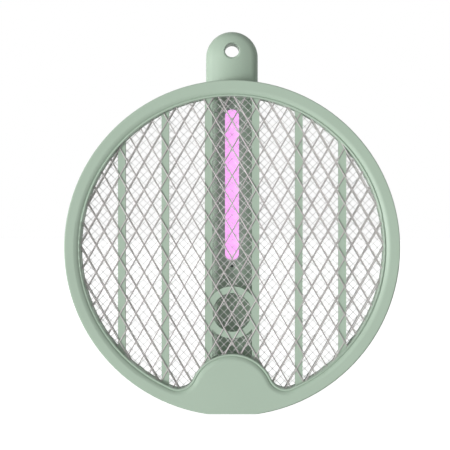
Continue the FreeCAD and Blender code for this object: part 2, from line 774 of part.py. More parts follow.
def handle_front_shell(outer, inner):
    half = front_half()
    posts = [rod_y(x, BASE_Z + h, BOSS_R, -20, 0) for x, h in GRIP_SCREWS]
    posts += [rod_y(x, z, BOARD_BOSS_R, -20, BOARD_Y[0]) for x, z in board_screw_places()]
    posts.append(rod_y(0, 0, HANG_BOSS_R, -20, 0))
    posts = [post.common(outer) for post in posts]
    shell = joined([outer.cut(inner).common(half), *posts])
    cuts = [neck_way(), port_way(), hang_way()]
    cuts.append(slot_y(STRIP_W + 0.1, 0, STRIP_Z, -20, -6.5))
    cuts.append(rod_y(0, SENSOR_Z, SENSOR_R + 0.05, -20, -6.5))
    for x, h in GRIP_SCREWS:
        cuts.append(rod_y(x, BASE_Z + h, PILOT_R, GRIP_FRONT_Y + 4.5, 1))
    for x, z in board_screw_places():
        cuts.append(rod_y(x, z, BOARD_SCREW_R + 0.05, GRIP_FRONT_Y + 4.5, 5))
    keep("handle_front_shell", less(shell, cuts))


def cell_saddle(z):
    """A rib of the rear shell that the cell lies in."""
    rib = block((-20, 20), (4.0, 20), (z, z + 1.6))
    return rib.cut(rod_z(0, CELL_Y, CELL_R + 0.1, z - 1, z + 3))


def handle_rear_shell(outer, inner):
    half = rear_half()
    posts = [rod_y(x, BASE_Z + h, BOSS_R, 0, 20) for x, h in GRIP_SCREWS]
    posts.append(rod_y(0, 0, HANG_BOSS_R, 0, 20))
    posts += [cell_saddle(BASE_Z + h) for h in (120, 150)]
    posts = [post.common(outer) for post in posts]
    shell = joined([outer.cut(inner).common(half), *posts])
    cuts = [neck_way(), port_way(), hang_way()]
    z = (BUTTON_Z - BUTTON_L / 2 - BUTTON_GAP, BUTTON_Z + BUTTON_L / 2 + BUTTON_GAP)
    cuts.append(slot_y(BUTTON_W + 2 * BUTTON_GAP, 0, z, 7.0, 20))
    cuts.append(block((-2.3, 2.3), (8.0, 20), (SLIDER_Z - 6.6, SLIDER_Z + 6.6)))
    cuts.append(rod_y(0, STATUS_Z, 1.55, 8.0, 20))
    for x, h in GRIP_SCREWS:
        cuts.append(rod_y(x, BASE_Z + h, SCREW_WAY_R, -1, 20))
        cuts.append(rod_y(x, BASE_Z + h, SCREW_HEAD_WAY_R, grip_screw_seat(x), 20))
    keep("handle_rear_shell", less(shell, cuts))


def handle_shells():
    outer = grip_body(0, GRIP_BASE_Z)
    foot = [e for e in outer.Edges if abs(e.BoundBox.ZMax - GRIP_BASE_Z) < 1e-4]
    outer = outer.makeFillet(1.0, foot)
    inner = grip_body(WALL, GRIP_BASE_Z + WALL)
    handle_front_shell(outer, inner)
    handle_rear_shell(outer, inner)


# ---- lamp ------------------------------------------------------------------------------------------


def lamp():
    face = grip_body(0.02, GRIP_BASE_Z)
    room = grip_body(WALL + 0.02, GRIP_BASE_Z + WALL)
    window = slot_y(STRIP_W, 0, (STRIP_Z[0] + 0.05, STRIP_Z[1] - 0.05), -20, -8.0).common(face)
    flange_z = (STRIP_Z[0] - STRIP_FLANGE, STRIP_Z[1] + STRIP_FLANGE)
    flange = slot_y(STRIP_W + 2 * STRIP_FLANGE, 0, flange_z, -20, -7.6).common(room)
    keep("lamp_diffuser", joined([window, flange]))
    board_z = (STRIP_Z[0] - 6.5, STRIP_Z[1] + 2)
    keep("lamp_board", block((-4, 4), LAMP_BOARD_Y, board_z))
    step = (STRIP_Z[1] - STRIP_Z[0]) / LAMP_COUNT
    diodes = []
    for k in range(LAMP_COUNT):
        z = STRIP_Z[0] + (k + 0.5) * step
        package = block((-1.4, 1.4), (LAMP_BOARD_Y[0] - 1.1, LAMP_BOARD_Y[0]), (z - 1.75, z + 1.75))
        diodes.append(package.cut(rod_y(0, z, 1.1, LAMP_BOARD_Y[0] - 2, LAMP_BOARD_Y[0] - 0.8)))
    keep("lamp_diodes", *diodes)
    lens = rod_y(0, SENSOR_Z, SENSOR_R, -20, -8.2).common(face)
    keep("sensor_window", joined([lens, rod_y(0, SENSOR_Z, SENSOR_FLANGE_R, -8.9, -8.1)]))
    chip_y = (LAMP_BOARD_Y[0] - 0.8, LAMP_BOARD_Y[0])
    keep("light_sensor", block((-0.8, 0.8), chip_y, (SENSOR_Z - 1.2, SENSOR_Z + 0.5)))


# ---- electronics -----------------------------------------------------------------------------------


def board_screw_places():
    return [(6.8, BASE_Z + 60.0), (-6.8, BASE_Z + 89.0)]


def main_board():
    board = block((-BOARD_HALF, BOARD_HALF), BOARD_Y, BOARD_Z)
    ear = block((-13.4, -BOARD_HALF + 1), BOARD_Y, (PORT_Z - 5.4, PORT_Z + 5.4))
    cuts = [rod_y(x, z, 1.05, -2, 5) for x, z in board_screw_places()]
    keep("main_board", less(joined([board, ear]), cuts))
    screws = []
    for x, z in board_screw_places():
        head = rod_y(x, z, 1.8, BOARD_Y[1], BOARD_Y[1] + 1.2)
        head = head.makeFillet(0.5, edges_at(head, BOARD_Y[1] + 1.2))
        head = head.cut(block((x - 1.2, x + 1.2), (BOARD_Y[1] + 0.7, 5), (z - 0.2, z + 0.2)))
        screws.append(joined([head, rod_y(x, z, BOARD_SCREW_R, BOARD_Y[1] - 6, BOARD_Y[1])]))
    keep("board_screws", *screws)


def step_up_transformer():
    """A small ferrite core with its bobbin and winding."""
    top = BOARD_Y[0]
    z = (BASE_Z + 74.0, BASE_Z + 86.0)
    mid = sum(z) / 2
    core = block((-6.4, 6.4), (top - 7.2, top - 1.0), (mid - 2.6, mid + 2.6))
    windows = [block((s * 3.6 - 1.3, s * 3.6 + 1.3), (top - 6.0, top - 2.2), z) for s in (-1, 1)]
    coil = block((-4.5, 4.5), (top - 7.9, top - 0.7), (mid - 5.0, mid + 5.0))
    coil = coil.makeFillet(1.6, [e for e in coil.Edges if abs(e.tangentAt(0).x) > 0.9])
    foot = block((-6.0, 6.0), (top - 1.0, top), (z[0], z[1]))
    keep("step_up_transformer", joined([less(core, windows), coil, foot]))


def capacitor():
    box = block((-6.2, 6.2), (BOARD_Y[0] - 7.6, BOARD_Y[0]), (BASE_Z + 51.4, BASE_Z + 57.2))
    keep("high_voltage_capacitor", box.makeFillet(0.7, box.Edges))


def axial_part(x, z, body_r, body_half, lying):
    """A wire-ended part on the board's front side, its body along X or Z."""
    top = BOARD_Y[0]
    y = top - body_r - 0.3
    reach = body_half + 1.6
    if lying == "x":
        body = rod_x(y, z, body_r, x - body_half, x + body_half)
        legs = [(x - reach, top, z), (x - reach, y, z), (x + reach, y, z), (x + reach, top, z)]
    else:
        body = rod_z(x, y, body_r, z - body_half, z + body_half)
        legs = [(x, top, z - reach), (x, y, z - reach), (x, y, z + reach), (x, top, z + reach)]
    return joined([body, lead(AXIAL_WIRE_R, *legs)])


def small_parts():
    spots = [BASE_Z + h for h in (64.6, 68.0, 71.4)]
    keep("rectifier_diodes", *[axial_part(0, z, 1.3, 2.2, "x") for z in spots])
    keep("bleed_resistors", *[axial_part(x, BASE_Z + 99, 1.1, 3.1, "z") for x in (-4.5, 4.5)])


def cell():
    body = rod_z(0, CELL_Y, CELL_R, CELL_Z[0], CELL_Z[1] - 1)
    nub = rod_z(0, CELL_Y, 2.6, CELL_Z[1] - 1, CELL_Z[1])
    rims = [e for e in body.Edges if e.BoundBox.ZLength < 1e-4]
    keep("battery_cell", joined([body.makeFillet(0.5, rims), nub]))
    low = block((-2.5, 2.5), (CELL_Y - 2.5, CELL_Y + 2.5), (CELL_Z[0] - 0.3, CELL_Z[0]))
    high = block((-2.5, 5.5), (CELL_Y - 2.5, CELL_Y + 2.5), (CELL_Z[1], CELL_Z[1] + 0.3))
    keep("battery_tabs", low, high)


def cell_leads():
    end = BOARD_Z[1] - 2
    top = CELL_Z[1] + 1.1
    plus = [(4.4, CELL_Y, top), (9.9, CELL_Y, top), (9.9, -1.0, CELL_Z[1] - 10)]
    plus += [(9.9, -1.0, BASE_Z + 113), (7.4, -0.6, end)]
    low = CELL_Z[0] - 0.9
    minus = [(-1.5, CELL_Y, low), (-5.0, 0.4, low - 0.6), (-7.4, -0.6, end)]
    keep("battery_leads", lead(0.7, *plus), lead(0.55, *minus))


def lamp_leads():
    z = STRIP_Z[0] - 5.5
    wires = []
    for x in (-2.6, 2.6):
        start = (x, LAMP_BOARD_Y[1] + 0.5, z)
        wires.append(lead(0.5, start, (x, -2.6, z - 1.2), (x * 1.05, -0.2, z - 5.2)))
    keep("lamp_leads", *wires)


def high_voltage_leads():
    y = NECK_BORE_Y
    end = BOARD_Z[0] + 0.8
    wires = []
    for x in (-NECK_BORE_X, NECK_BORE_X):
        bend = (x, y, TONGUE_TOP + 0.9)
        turn = (x * 1.25, y + 0.5, TONGUE_TOP + 2.0)
        wires.append(lead(LEAD_R, (x, y, AXIS_Z - 1), bend, turn, (x * 2.8, BOARD_Y[0] - LEAD_R, end + 1.2)))
    keep("high_voltage_leads", *wires)


def charging_socket():
    """A small oval charging socket on the board's side tab, its mouth in the handle's side."""
    y = BOARD_Y[0] - PORT_T / 2
    x = (-15.9, -9.4)

    def oval(r, length, x0, x1):
        half = length / 2 - r
        middle = block((x0, x1), (y - r, y + r), (PORT_Z - half, PORT_Z + half))
        ends = [rod_x(y, z, r, x0, x1) for z in (PORT_Z - half, PORT_Z + half)]
        return joined([middle, *ends])

    case = oval(PORT_T / 2 - 0.02, PORT_L, x[0], x[1])
    hollow = oval(PORT_T / 2 - 0.35, PORT_L - 0.7, x[0] - 1, x[1] - 1.0)
    tongue = block((x[0] + 0.8, x[1] - 0.5), (y - 0.35, y + 0.35), (PORT_Z - 3.2, PORT_Z + 3.2))
    keep("charging_socket", joined([case.cut(hollow), tongue]))


# ---- controls --------------------------------------------------------------------------------------


def zap_button():
    z = (BUTTON_Z - BUTTON_L / 2, BUTTON_Z + BUTTON_L / 2)
    cap = slot_y(BUTTON_W, 0, z, 7.5, BUTTON_TOP_Y)
    cap = cap.makeFillet(0.9, edges_at(cap, BUTTON_TOP_Y))
    dish = Part.makeSphere(60, V(0, BUTTON_TOP_Y + 59.3, BUTTON_Z))
    flange = slot_y(BUTTON_W + 2.5, 0, (z[0] - 1.25, z[1] + 1.25), 7.0, 8.0)
    stem = rod_y(0, BUTTON_Z, 2.0, 6.2, 7.5)
    keep("zap_button", joined([cap.cut(dish), flange, stem]))


def button_spring():
    """A coil spring round the tact switch. Its fine wire has eight sides."""
    helix = Part.makeHelix(SPRING_PITCH, SPRING_H, SPRING_R)
    helix.rotate(V(0, 0, 0), V(1, 0, 0), -90)
    helix.translate(V(0, BOARD_Y[1] + SPRING_WIRE_R + 0.05, BUTTON_Z))
    path = Part.Wire(helix.Edges)
    first = path.Edges[0]
    start = first.valueAt(first.FirstParameter)
    along = first.tangentAt(first.FirstParameter)
    across = along.cross(AXIS_OF_DEPTH).normalize() * SPRING_WIRE_R
    upright = along.cross(across).normalize() * SPRING_WIRE_R
    turns = [math.radians(45 * k) for k in range(9)]
    ring = Part.makePolygon([start + across * math.cos(t) + upright * math.sin(t) for t in turns])
    keep("button_spring", path.makePipeShell([ring], True, True))


def tact_switch():
    y = BOARD_Y[1]
    body = block((-3, 3), (y, y + 2.5), (BUTTON_Z - 3, BUTTON_Z + 3))
    body = body.makeChamfer(0.3, edges_at(body, y + 2.5))
    keep("tact_switch", joined([body, rod_y(0, BUTTON_Z, 1.7, y + 2, y + 2.9)]))


def mode_slider():
    """A ridged thumb slider: pad outside the wall, guide plate inside it, and a stem down to the switch."""
    pad = block((-3.5, 3.5), (GRIP_BACK_Y + 0.05, BUTTON_TOP_Y), (SLIDER_Z - 5, SLIDER_Z + 5))
    pad = pad.makeFillet(0.5, edges_at(pad, BUTTON_TOP_Y))
    for k in range(-2, 3):
        z = SLIDER_Z + 1.6 * k
        pad = pad.cut(rod_x(BUTTON_TOP_Y + 0.25, z, 0.6, -4, 4))
    neck = block((-2.0, 2.0), (7.6, GRIP_BACK_Y + 0.2), (SLIDER_Z - 2.2, SLIDER_Z + 2.2))
    guide = block((-3.6, 3.6), (7.2, 8.4), (SLIDER_Z - 7, SLIDER_Z + 7))
    stem = block((-0.7, 0.7), (3.6, 7.4), (SLIDER_Z - 0.9, SLIDER_Z + 0.9))
    keep("mode_slider", joined([pad, neck, guide, stem]))


def slide_switch():
    y = BOARD_Y[1]
    body = block((-2.6, 2.6), (y, y + 3.6), (SLIDER_Z - 7, SLIDER_Z + 7))
    groove = block((-1.0, 1.0), (y + 1.0, y + 5), (SLIDER_Z - 5.4, SLIDER_Z + 5.4))
    keep("slide_switch", body.cut(groove))


def status_light():
    y = BOARD_Y[1]
    keep("status_diode", block((-0.8, 0.8), (y, y + 0.7), (STATUS_Z - 0.5, STATUS_Z + 0.5)))
    pipe = rod_y(0, STATUS_Z, 1.5, y + 1.1, GRIP_BACK_Y - 0.05)
    flange = rod_y(0, STATUS_Z, 2.2, 7.6, 8.9)
    pipe = pipe.makeFillet(0.3, edges_at(pipe, GRIP_BACK_Y - 0.05))
    keep("status_light_pipe", joined([pipe, flange]))


# ---- everything ------------------------------------------------------------------------------------


def build():
    head_front_shell()
    head_rear_shell()
    meshes()
    spacer_grids()
    head_screws()
    head_wiring()
    hinge_neck()
    hinge_hardware()
    handle_shells()
    grip_screws()
    lamp()
    main_board()
    step_up_transformer()
    capacitor()
    small_parts()
    cell()
    cell_leads()
    lamp_leads()
    high_voltage_leads()
    charging_socket()
    zap_button()
    button_spring()
    tact_switch()
    mode_slider()
    slide_switch()
    status_light()


build()
os.makedirs("parts", exist_ok=True)
for name, shape in NODES.items():
    print(f"{name}: {len(shape.Solids)} solid(s), {shape.Volume:.1f} mm3, valid {shape.isValid()}")
    shape.exportStep(f"parts/{name}.step")
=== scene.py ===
import bpy
import bmesh
import json
import math
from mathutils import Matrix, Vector


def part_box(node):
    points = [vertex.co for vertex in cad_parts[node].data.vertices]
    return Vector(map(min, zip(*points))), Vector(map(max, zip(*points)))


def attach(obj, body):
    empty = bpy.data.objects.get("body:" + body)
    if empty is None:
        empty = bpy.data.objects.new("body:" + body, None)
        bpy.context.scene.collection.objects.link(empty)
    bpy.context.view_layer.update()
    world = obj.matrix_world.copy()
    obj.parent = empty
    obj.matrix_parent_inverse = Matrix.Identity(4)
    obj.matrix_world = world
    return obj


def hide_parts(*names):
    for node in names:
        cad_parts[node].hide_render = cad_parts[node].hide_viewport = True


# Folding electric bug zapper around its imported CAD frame. Metres, Z up; the wire face looks along -Y.

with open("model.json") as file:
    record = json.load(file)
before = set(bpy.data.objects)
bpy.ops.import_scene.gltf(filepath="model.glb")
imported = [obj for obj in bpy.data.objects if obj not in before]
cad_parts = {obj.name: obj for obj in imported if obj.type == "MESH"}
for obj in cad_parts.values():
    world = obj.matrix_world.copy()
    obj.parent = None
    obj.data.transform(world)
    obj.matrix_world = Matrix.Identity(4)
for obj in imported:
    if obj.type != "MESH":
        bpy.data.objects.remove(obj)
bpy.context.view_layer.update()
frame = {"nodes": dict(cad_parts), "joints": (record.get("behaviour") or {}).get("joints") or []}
nodes = frame["nodes"]

MM = 0.001

# ---- places read from the frame ---------------------------------------------------------------------

HEAD_LOW, HEAD_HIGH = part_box("head_front_shell")
RING_R = (HEAD_HIGH.x - HEAD_LOW.x) / 2
RING_Z = HEAD_HIGH.z - RING_R
FOLD = next(joint for joint in frame["joints"] if joint["name"] == "head_fold")
AXIS_Z = FOLD["pos_m"][2]

# ---- the opening that the meshes fill ---------------------------------------------------------------

MOUTH_R = 99.5 * MM
HILL_R = 28.0 * MM  # rounded hinge housing at the bottom of the opening
HILL_Z = RING_Z - 97.36 * MM
POCKET_R = 10.5 * MM  # concave corners beside the housing
CLAMPED = 2.6 * MM  # how far the wires reach under the lip

OUTER_PITCH = Vector((10.55 * MM, 18.17 * MM))  # one large diamond, across and up
OUTER_NODE_Z = RING_Z + 83.8 * MM
OUTER_WIRE = 0.80 * MM
LIVE_WIRE = 0.38 * MM
LIVE_PITCH = Vector((5.32 * MM, 5.32 * MM))
LIVE_NODE_Z = RING_Z + 96.0 * MM
TAB_LOW = HILL_Z + 16.6 * MM
TAB_HIGH = HILL_Z + 25.6 * MM
TAB_HALF = 2.0 * MM
TAB_SPACING = 8.0 * MM


def pocket_centre():
    """Centre of the concave corner on the +X side, as x and z."""
    from_ring = MOUTH_R - POCKET_R
    from_hill = HILL_R + POCKET_R
    apart = RING_Z - HILL_Z
    down = (from_ring**2 - from_hill**2 + apart**2) / (2 * apart)
    return math.sqrt(from_ring**2 - down**2), RING_Z - down


POCKET_X, POCKET_Z = pocket_centre()
RING_END = math.atan2(POCKET_X, POCKET_Z - RING_Z)
HILL_END = math.atan2(POCKET_X, POCKET_Z - HILL_Z)


def on_field(x, z):
    """True where a mesh's wire runs: inside the opening's outline moved outwards by CLAMPED."""
    side = abs(x)
    if math.hypot(side, z - RING_Z) > MOUTH_R + CLAMPED:
        return False
    if math.hypot(side, z - HILL_Z) < HILL_R - CLAMPED:
        return False
    angle = math.atan2(side - POCKET_X, z - POCKET_Z) % (2 * math.pi)
    below = RING_END < angle < HILL_END + math.pi
    return not below or math.hypot(side - POCKET_X, z - POCKET_Z) < POCKET_R + CLAMPED


# ---- wire meshes ------------------------------------------------------------------------------------

WALK = 0.25 * MM  # step of the walk along a wire that finds its ends
SHORTEST = 3.0 * MM
WIRE_SIDES = 10
WIRE_END = [(0.0, 0.0), (0.35, 0.8), (1.0, 1.0)]  # domed cut end: (distance along, swell), in half widths
WIRE_DEPTH = 0.38  # half a wire's depth over the depth of its CAD node
WELD_WIDTH = 1.25  # a weld over its wires, across and in depth
WELD_DEPTH = 0.9
TAB_EDGE = 0.3  # rounding of a tab's edges over half its depth


def runs_along(x, z, direction):
    """The stretches of the straight line through x, z that lie on the field, as (start, end) distances."""
    nearest = -x * direction.x + (RING_Z - z) * direction.y
    reach = int(RING_R / WALK)
    runs = []
    start = None
    for k in range(-reach, reach):
        at = nearest + k * WALK
        inside = on_field(x + at * direction.x, z + at * direction.y)
        if inside and start is None:
            start = at
        if not inside and start is not None:
            runs.append((start, at - WALK))
            start = None
    return [run for run in runs if run[1] - run[0] > SHORTEST]


def add_wire(bm, low, high, half_w, half_t):
    """A straight wire between two points, with a slightly flattened round section and domed cut ends."""
    along = (high - low).normalized()
    across = along.cross(Vector((0, 1, 0))).normalized()
    length = (high - low).length
    places = [(t * half_w, swell) for t, swell in WIRE_END]
    places += [(length - t * half_w, swell) for t, swell in reversed(WIRE_END)]
    rings = []
    for distance, swell in places:
        centre = low + along * distance
        if swell == 0.0:
            rings.append([bm.verts.new(centre)])
            continue
        ring = []
        for k in range(WIRE_SIDES):
            turn = 2 * math.pi * k / WIRE_SIDES
            offset = across * (half_w * math.cos(turn)) + Vector((0, half_t * math.sin(turn), 0))
            ring.append(bm.verts.new(centre + offset * swell))
        rings.append(ring)
    for one, two in zip(rings, rings[1:]):
        for k in range(WIRE_SIDES):
            after = (k + 1) % WIRE_SIDES
            if len(one) == 1:
                bm.faces.new((one[0], two[after], two[k]))
            elif len(two) == 1:
                bm.faces.new((one[k], one[after], two[0]))
            else:
                bm.faces.new((one[k], one[after], two[after], two[k]))


def add_weld(bm, centre, half_w, half_t):
    """The small flattened bead where two wires are welded."""
    made = bmesh.ops.create_icosphere(bm, subdivisions=1, radius=1.0)
    for vert in made["verts"]:
        vert.co = centre + Vector((vert.co.x * half_w, vert.co.y * half_t, vert.co.z * half_w))


def add_tab(bm, x, y, half_t):
    """The flat strip that carries a mesh's terminal, down into the hinge housing."""
    made = bmesh.ops.create_cube(bm, size=2.0)
    middle = (TAB_LOW + TAB_HIGH) / 2
    half = (TAB_HIGH - TAB_LOW) / 2
    for vert in made["verts"]:
        vert.co = Vector((x + vert.co.x * TAB_HALF, y + vert.co.y * half_t, middle + vert.co.z * half))
    edges = {edge for vert in made["verts"] for edge in vert.link_edges}
    bmesh.ops.bevel(bm, geom=list(edges), offset=half_t * TAB_EDGE, segments=2, affect="EDGES", profile=0.5)


def wire_mesh(node, pitch, node_z, width, tab_x):
    """Two crossed sets of straight wires welded where they meet, in place of a mesh's CAD node."""
    low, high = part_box(node)
    y = (low.y + high.y) / 2
    half_w = width / 2
    half_t = (high.y - low.y) * WIRE_DEPTH
    shift = (high.y - low.y) / 2 - half_t
    bm = bmesh.new()
    rise = math.hypot(pitch.x, pitch.y)
    for slope in (1, -1):
        direction = Vector((pitch.x / rise, slope * pitch.y / rise))
        count = int(2.2 * RING_R / pitch.x) + int(2.2 * RING_R / pitch.y)
        for k in range(-count, count + 1):
            x = k * pitch.x
            for start, end in runs_along(x, node_z, direction):
                ends = [(x + d * direction.x, node_z + d * direction.y) for d in (start, end)]
                points = [Vector((px, y + slope * shift, pz)) for px, pz in ends]
                add_wire(bm, *points, half_w, half_t)
    columns = int(2 * RING_R / pitch.x) + 2
    rows = int(2 * RING_R / pitch.y) + 4
    for i in range(-columns, columns + 1):
        for j in range(-2 * rows, 2 * rows + 1):
            if (i + j) % 2:
                continue
            x = i * pitch.x / 2
            z = node_z + j * pitch.y / 2
            if on_field(x, z):
                add_weld(bm, Vector((x, y, z)), half_w * WELD_WIDTH, half_t + shift * WELD_DEPTH)
    add_tab(bm, tab_x, y, (high.y - low.y) / 2)
    bmesh.ops.recalc_face_normals(bm, faces=bm.faces)
    mesh = bpy.data.meshes.new(node + "_wires")
    bm.to_mesh(mesh)
    bm.free()
    mesh.polygons.foreach_set("use_smooth", [True] * len(mesh.polygons))
    piece = bpy.data.objects.new(node + "_wires", mesh)
    bpy.context.scene.collection.objects.link(piece)
    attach(piece, "head")
    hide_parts(node)
    return piece


# ---- material helpers -------------------------------------------------------------------------------


class Tree:
    """A material's node tree with short ways to add what these materials share."""

    def __init__(self, name):
        self.material = bpy.data.materials.new(name)
        self.material.use_nodes = True
        self.nodes = self.material.node_tree.nodes
        self.links = self.material.node_tree.links
        self.shader = self.nodes["Principled BSDF"]
        self.place = self.nodes.new("ShaderNodeTexCoord").outputs["Object"]

    def set(self, **values):
        for name, value in values.items():
            self.shader.inputs[name.replace("_", " ")].default_value = value

    def join(self, source, target):
        self.links.new(source, target)

    def noise(self, scale, detail=3.0, rough=0.5, where=None):
        node = self.nodes.new("ShaderNodeTexNoise")
        node.inputs["Scale"].default_value = scale
        node.inputs["Detail"].default_value = detail
        node.inputs["Roughness"].default_value = rough
        self.join(where or self.place, node.inputs["Vector"])
        return node.outputs["Fac"]

    def axes(self):
        """X, Y and Z of the place on the object."""
        node = self.nodes.new("ShaderNodeSeparateXYZ")
        self.join(self.place, node.inputs[0])
        return node.outputs

    def stretched(self, x, y, z):
        node = self.nodes.new("ShaderNodeMapping")
        node.inputs["Scale"].default_value = (x, y, z)
        self.join(self.place, node.inputs["Vector"])
        return node.outputs["Vector"]

    def spread(self, value, low, high, start=0.3, end=0.7):
        """Maps start..end of a value to low..high."""
        node = self.nodes.new("ShaderNodeMapRange")
        self.join(value, node.inputs["Value"])
        node.inputs["From Min"].default_value = start
        node.inputs["From Max"].default_value = end
        node.inputs["To Min"].default_value = low
        node.inputs["To Max"].default_value = high
        return node.outputs["Result"]

    def ramp(self, value, *stops):
        node = self.nodes.new("ShaderNodeValToRGB")
        self.join(value, node.inputs["Fac"])
        ramp = node.color_ramp
        while len(ramp.elements) < len(stops):
            ramp.elements.new(0.5)
        for element, (at, colour) in zip(ramp.elements, stops):
            element.position = at
            element.color = (*colour, 1)
        return node.outputs["Color"]

    def mixed(self, factor, one, two):
        """One colour turning into another; each is a socket or a plain colour."""
        node = self.nodes.new("ShaderNodeMix")
        node.data_type = "RGBA"
        self.join(factor, node.inputs[0])
        for socket, value in ((node.inputs[6], one), (node.inputs[7], two)):
            if isinstance(value, tuple):
                socket.default_value = (*value, 1)
            else:
                self.join(value, socket)
        return node.outputs[2]

    def math(self, kind, one, two=None):
        node = self.nodes.new("ShaderNodeMath")
        node.operation = kind
        for socket, value in zip(node.inputs, (one, two)):
            if value is None:
                continue
            if isinstance(value, (int, float)):
                socket.default_value = value
            else:
                self.join(value, socket)
        return node.outputs[0]

    def colour(self, source):
        self.join(source, self.shader.inputs["Base Color"])

    def roughness(self, source):
        self.join(source, self.shader.inputs["Roughness"])

    def bump(self, height, distance, strength=1.0, below=None):
        node = self.nodes.new("ShaderNodeBump")
        node.inputs["Distance"].default_value = distance
        node.inputs["Strength"].default_value = strength
        self.join(height, node.inputs["Height"])
        if below is not None:
            self.join(below, node.inputs["Normal"])
        self.join(node.outputs["Normal"], self.shader.inputs["Normal"])
        return node.outputs["Normal"]


def shade(colour, factor):
    return tuple(channel * factor for channel in colour)


# ---- materials --------------------------------------------------------------------------------------

SAGE = (0.378, 0.482, 0.386)
SAGE_DEEP = (0.30, 0.40, 0.315)
STEEL = (0.62, 0.58, 0.58)
BLACK = (0.028, 0.028, 0.032)


GRAIN = 0.02 * MM  # height of the moulded grain


def moulded(name, colour, gloss=0.48):
    """Satin moulded plastic: fine spark-eroded grain, faint flow marks and handling marks."""
    tree = Tree(name)
    broad = tree.noise(14, 4, 0.55)
    speck = tree.noise(2600, 2, 0.6)
    tone = tree.ramp(broad, (0.3, shade(colour, 0.965)), (0.7, shade(colour, 1.03)))
    tree.colour(tree.mixed(tree.spread(speck, 0, 0.10), tone, shade(colour, 0.8)))
    marks = tree.noise(90, 5, 0.65, tree.stretched(1, 1, 0.35))
    tree.roughness(tree.spread(marks, gloss - 0.05, gloss + 0.09))
    soft = tree.bump(tree.noise(350, 3, 0.5), 0.03 * MM, 0.25)
    tree.bump(tree.noise(3200, 2, 0.6), GRAIN, 0.5, soft)
    return tree


def head_plastic():
    return moulded("sage_head_plastic", SAGE).material


def grid_plastic():
    return moulded("sage_grid_plastic", SAGE, gloss=0.52).material


def button_plastic():
    return moulded("sage_button_plastic", SAGE_DEEP, gloss=0.42).material


def neck_plastic():
    return moulded("sage_neck_plastic", shade(SAGE, 0.82), gloss=0.55).material


GLOW = (1.0, 0.36, 0.97)
# Tint of the glow painted as emission on the handle's plastic round the lamp window.
PAINTED_GLOW_TINT = (0.8, 0.42, 1.0)
STRIP_W = 9.1 * MM
STRIP_FLANGE = 1.5 * MM
LAMP_COUNT = 12
# Reach and strength of the glow painted on the handle's plastic round the lamp window.
GLOW_REACH = 1.5 * MM
PAINTED_GLOW_STRENGTH = 0.03


def lamp_distance(tree):
    """How far a point of the handle's face is from the lamp window's edge, in metres."""
    low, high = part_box("lamp_diffuser")
    centre = (low.z + high.z) / 2
    radius = STRIP_W / 2
    straight = (high.z - low.z) / 2 - STRIP_FLANGE - radius
    axes = tree.axes()
    beyond = tree.math("ABSOLUTE", tree.math("SUBTRACT", axes["Z"], centre))
    beyond = tree.math("MAXIMUM", tree.math("SUBTRACT", beyond, straight), 0.0)
    across = tree.math("POWER", axes["X"], 2.0)
    along = tree.math("POWER", beyond, 2.0)
    return tree.math("SUBTRACT", tree.math("SQRT", tree.math("ADD", across, along)), radius)


def handle_plastic(with_painted_glow):
    """The handle's plastic. On the front shell a faint violet glow is painted round the lamp window: an
    emission that fades with distance from the window's edge, not light cast by the lamp.
    """
    tree = moulded("sage_handle_front" if with_painted_glow else "sage_handle_rear", SAGE)
    if with_painted_glow:
        # Painted glow: emission on the plastic that fades with distance from the lamp window's edge.
        away = tree.math("DIVIDE", tree.math("MAXIMUM", lamp_distance(tree), 0.0), GLOW_REACH)
        faded = tree.math("EXPONENT", tree.math("MULTIPLY", away, -1.0))
        tree.join(tree.math("MULTIPLY", faded, PAINTED_GLOW_STRENGTH), tree.shader.inputs["Emission Strength"])
        tree.set(Emission_Color=(*PAINTED_GLOW_TINT, 1))
    return tree.material


def diffuser():
    """Frosted lamp window, a little brighter over each diode."""
    tree = Tree("frosted_lamp_window")
    tree.set(Emission_Color=(*GLOW, 1))
    low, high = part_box("lamp_diffuser")
    start = low.z + STRIP_FLANGE
    step = (high.z - STRIP_FLANGE - start) / LAMP_COUNT
    along = tree.math("SUBTRACT", tree.axes()["Z"], start)
    phase = tree.math("MULTIPLY", along, 2 * math.pi / step)
    pulse = tree.math("COSINE", phase)
    tree.join(tree.spread(pulse, 0.98, 0.88, -1, 1), tree.shader.inputs["Emission Strength"])
    cloud = tree.noise(240, 4, 0.6)
    tree.colour(tree.ramp(cloud, (0.3, (0.62, 0.30, 0.60)), (0.7, (0.68, 0.36, 0.66))))
    tree.roughness(tree.spread(cloud, 0.4, 0.55))
    tree.bump(tree.noise(2400, 2, 0.6), 0.02 * MM, 0.4)
    return tree.material


def drawn_wire(name, colour, gloss):
    """Tinned drawn wire with faint dull patches."""
    tree = Tree(name)
    tree.set(Metallic=0.35)
    dull = tree.noise(420, 4, 0.6)
    tree.colour(tree.ramp(dull, (0.3, shade(colour, 0.82)), (0.75, shade(colour, 1.08))))
    tree.roughness(tree.spread(dull, gloss + 0.1, gloss - 0.06))
    tree.bump(tree.noise(5200, 2, 0.5), 0.01 * MM, 0.35)
    return tree.material


def turned_steel(name, colour=STEEL, gloss=0.3):
    """Ground or plated steel with fine tool marks."""
    tree = Tree(name)
    tree.set(Metallic=1.0)
    ring = tree.noise(1500, 3, 0.6, tree.stretched(0.15, 1, 1))
    tree.colour(tree.ramp(ring, (0.3, shade(colour, 0.85)), (0.7, shade(colour, 1.1))))
    tree.roughness(tree.spread(tree.noise(300, 4), gloss - 0.06, gloss + 0.14))
    tree.bump(ring, 0.01 * MM, 0.4)
    return tree.material


def insulated(name, colour):
    """Soft insulation of a thin lead."""
    tree = Tree(name)
    tree.colour(tree.ramp(tree.noise(500, 3), (0.3, shade(colour, 0.8)), (0.7, shade(colour, 1.2))))
    tree.roughness(tree.spread(tree.noise(220, 3), 0.4, 0.6))
    tree.bump(tree.noise(3000, 2), 0.01 * MM, 0.3)
    return tree.material


